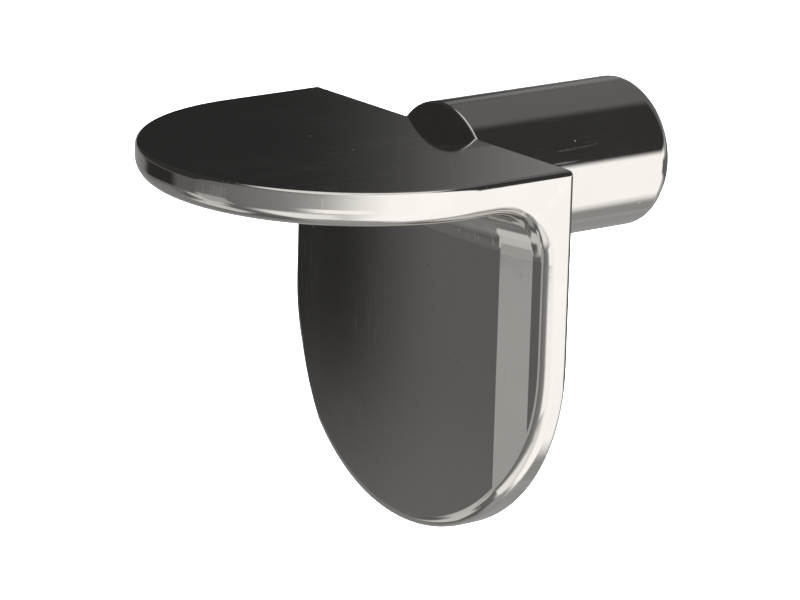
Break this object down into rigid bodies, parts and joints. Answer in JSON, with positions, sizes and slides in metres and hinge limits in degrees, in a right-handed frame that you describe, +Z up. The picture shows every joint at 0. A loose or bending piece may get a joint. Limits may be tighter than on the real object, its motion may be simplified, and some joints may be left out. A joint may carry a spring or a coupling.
{
  "type": "shelf support pin",
  "caption": "Plug-in shelf support: a round pin for the cabinet's side, with a round-ended tongue under the shelf and a matching leg below it.",
  "frame": {"origin": "where the pin's axis meets the leg's back face, which seats on the cabinet's side", "axes": "+Y along the pin into the cabinet's side, +Z up, the tongue reaches out along -Y under the shelf"},
  "size_m": [0.0136, 0.0184, 0.014],
  "materials": {
    "nickel_plate": "bright nickel plate over a polished casting, with fine rubbing marks"
  },
  "bodies": {
    "root": {"shelf_support": "nickel_plate"}
  },
  "joints": []
}
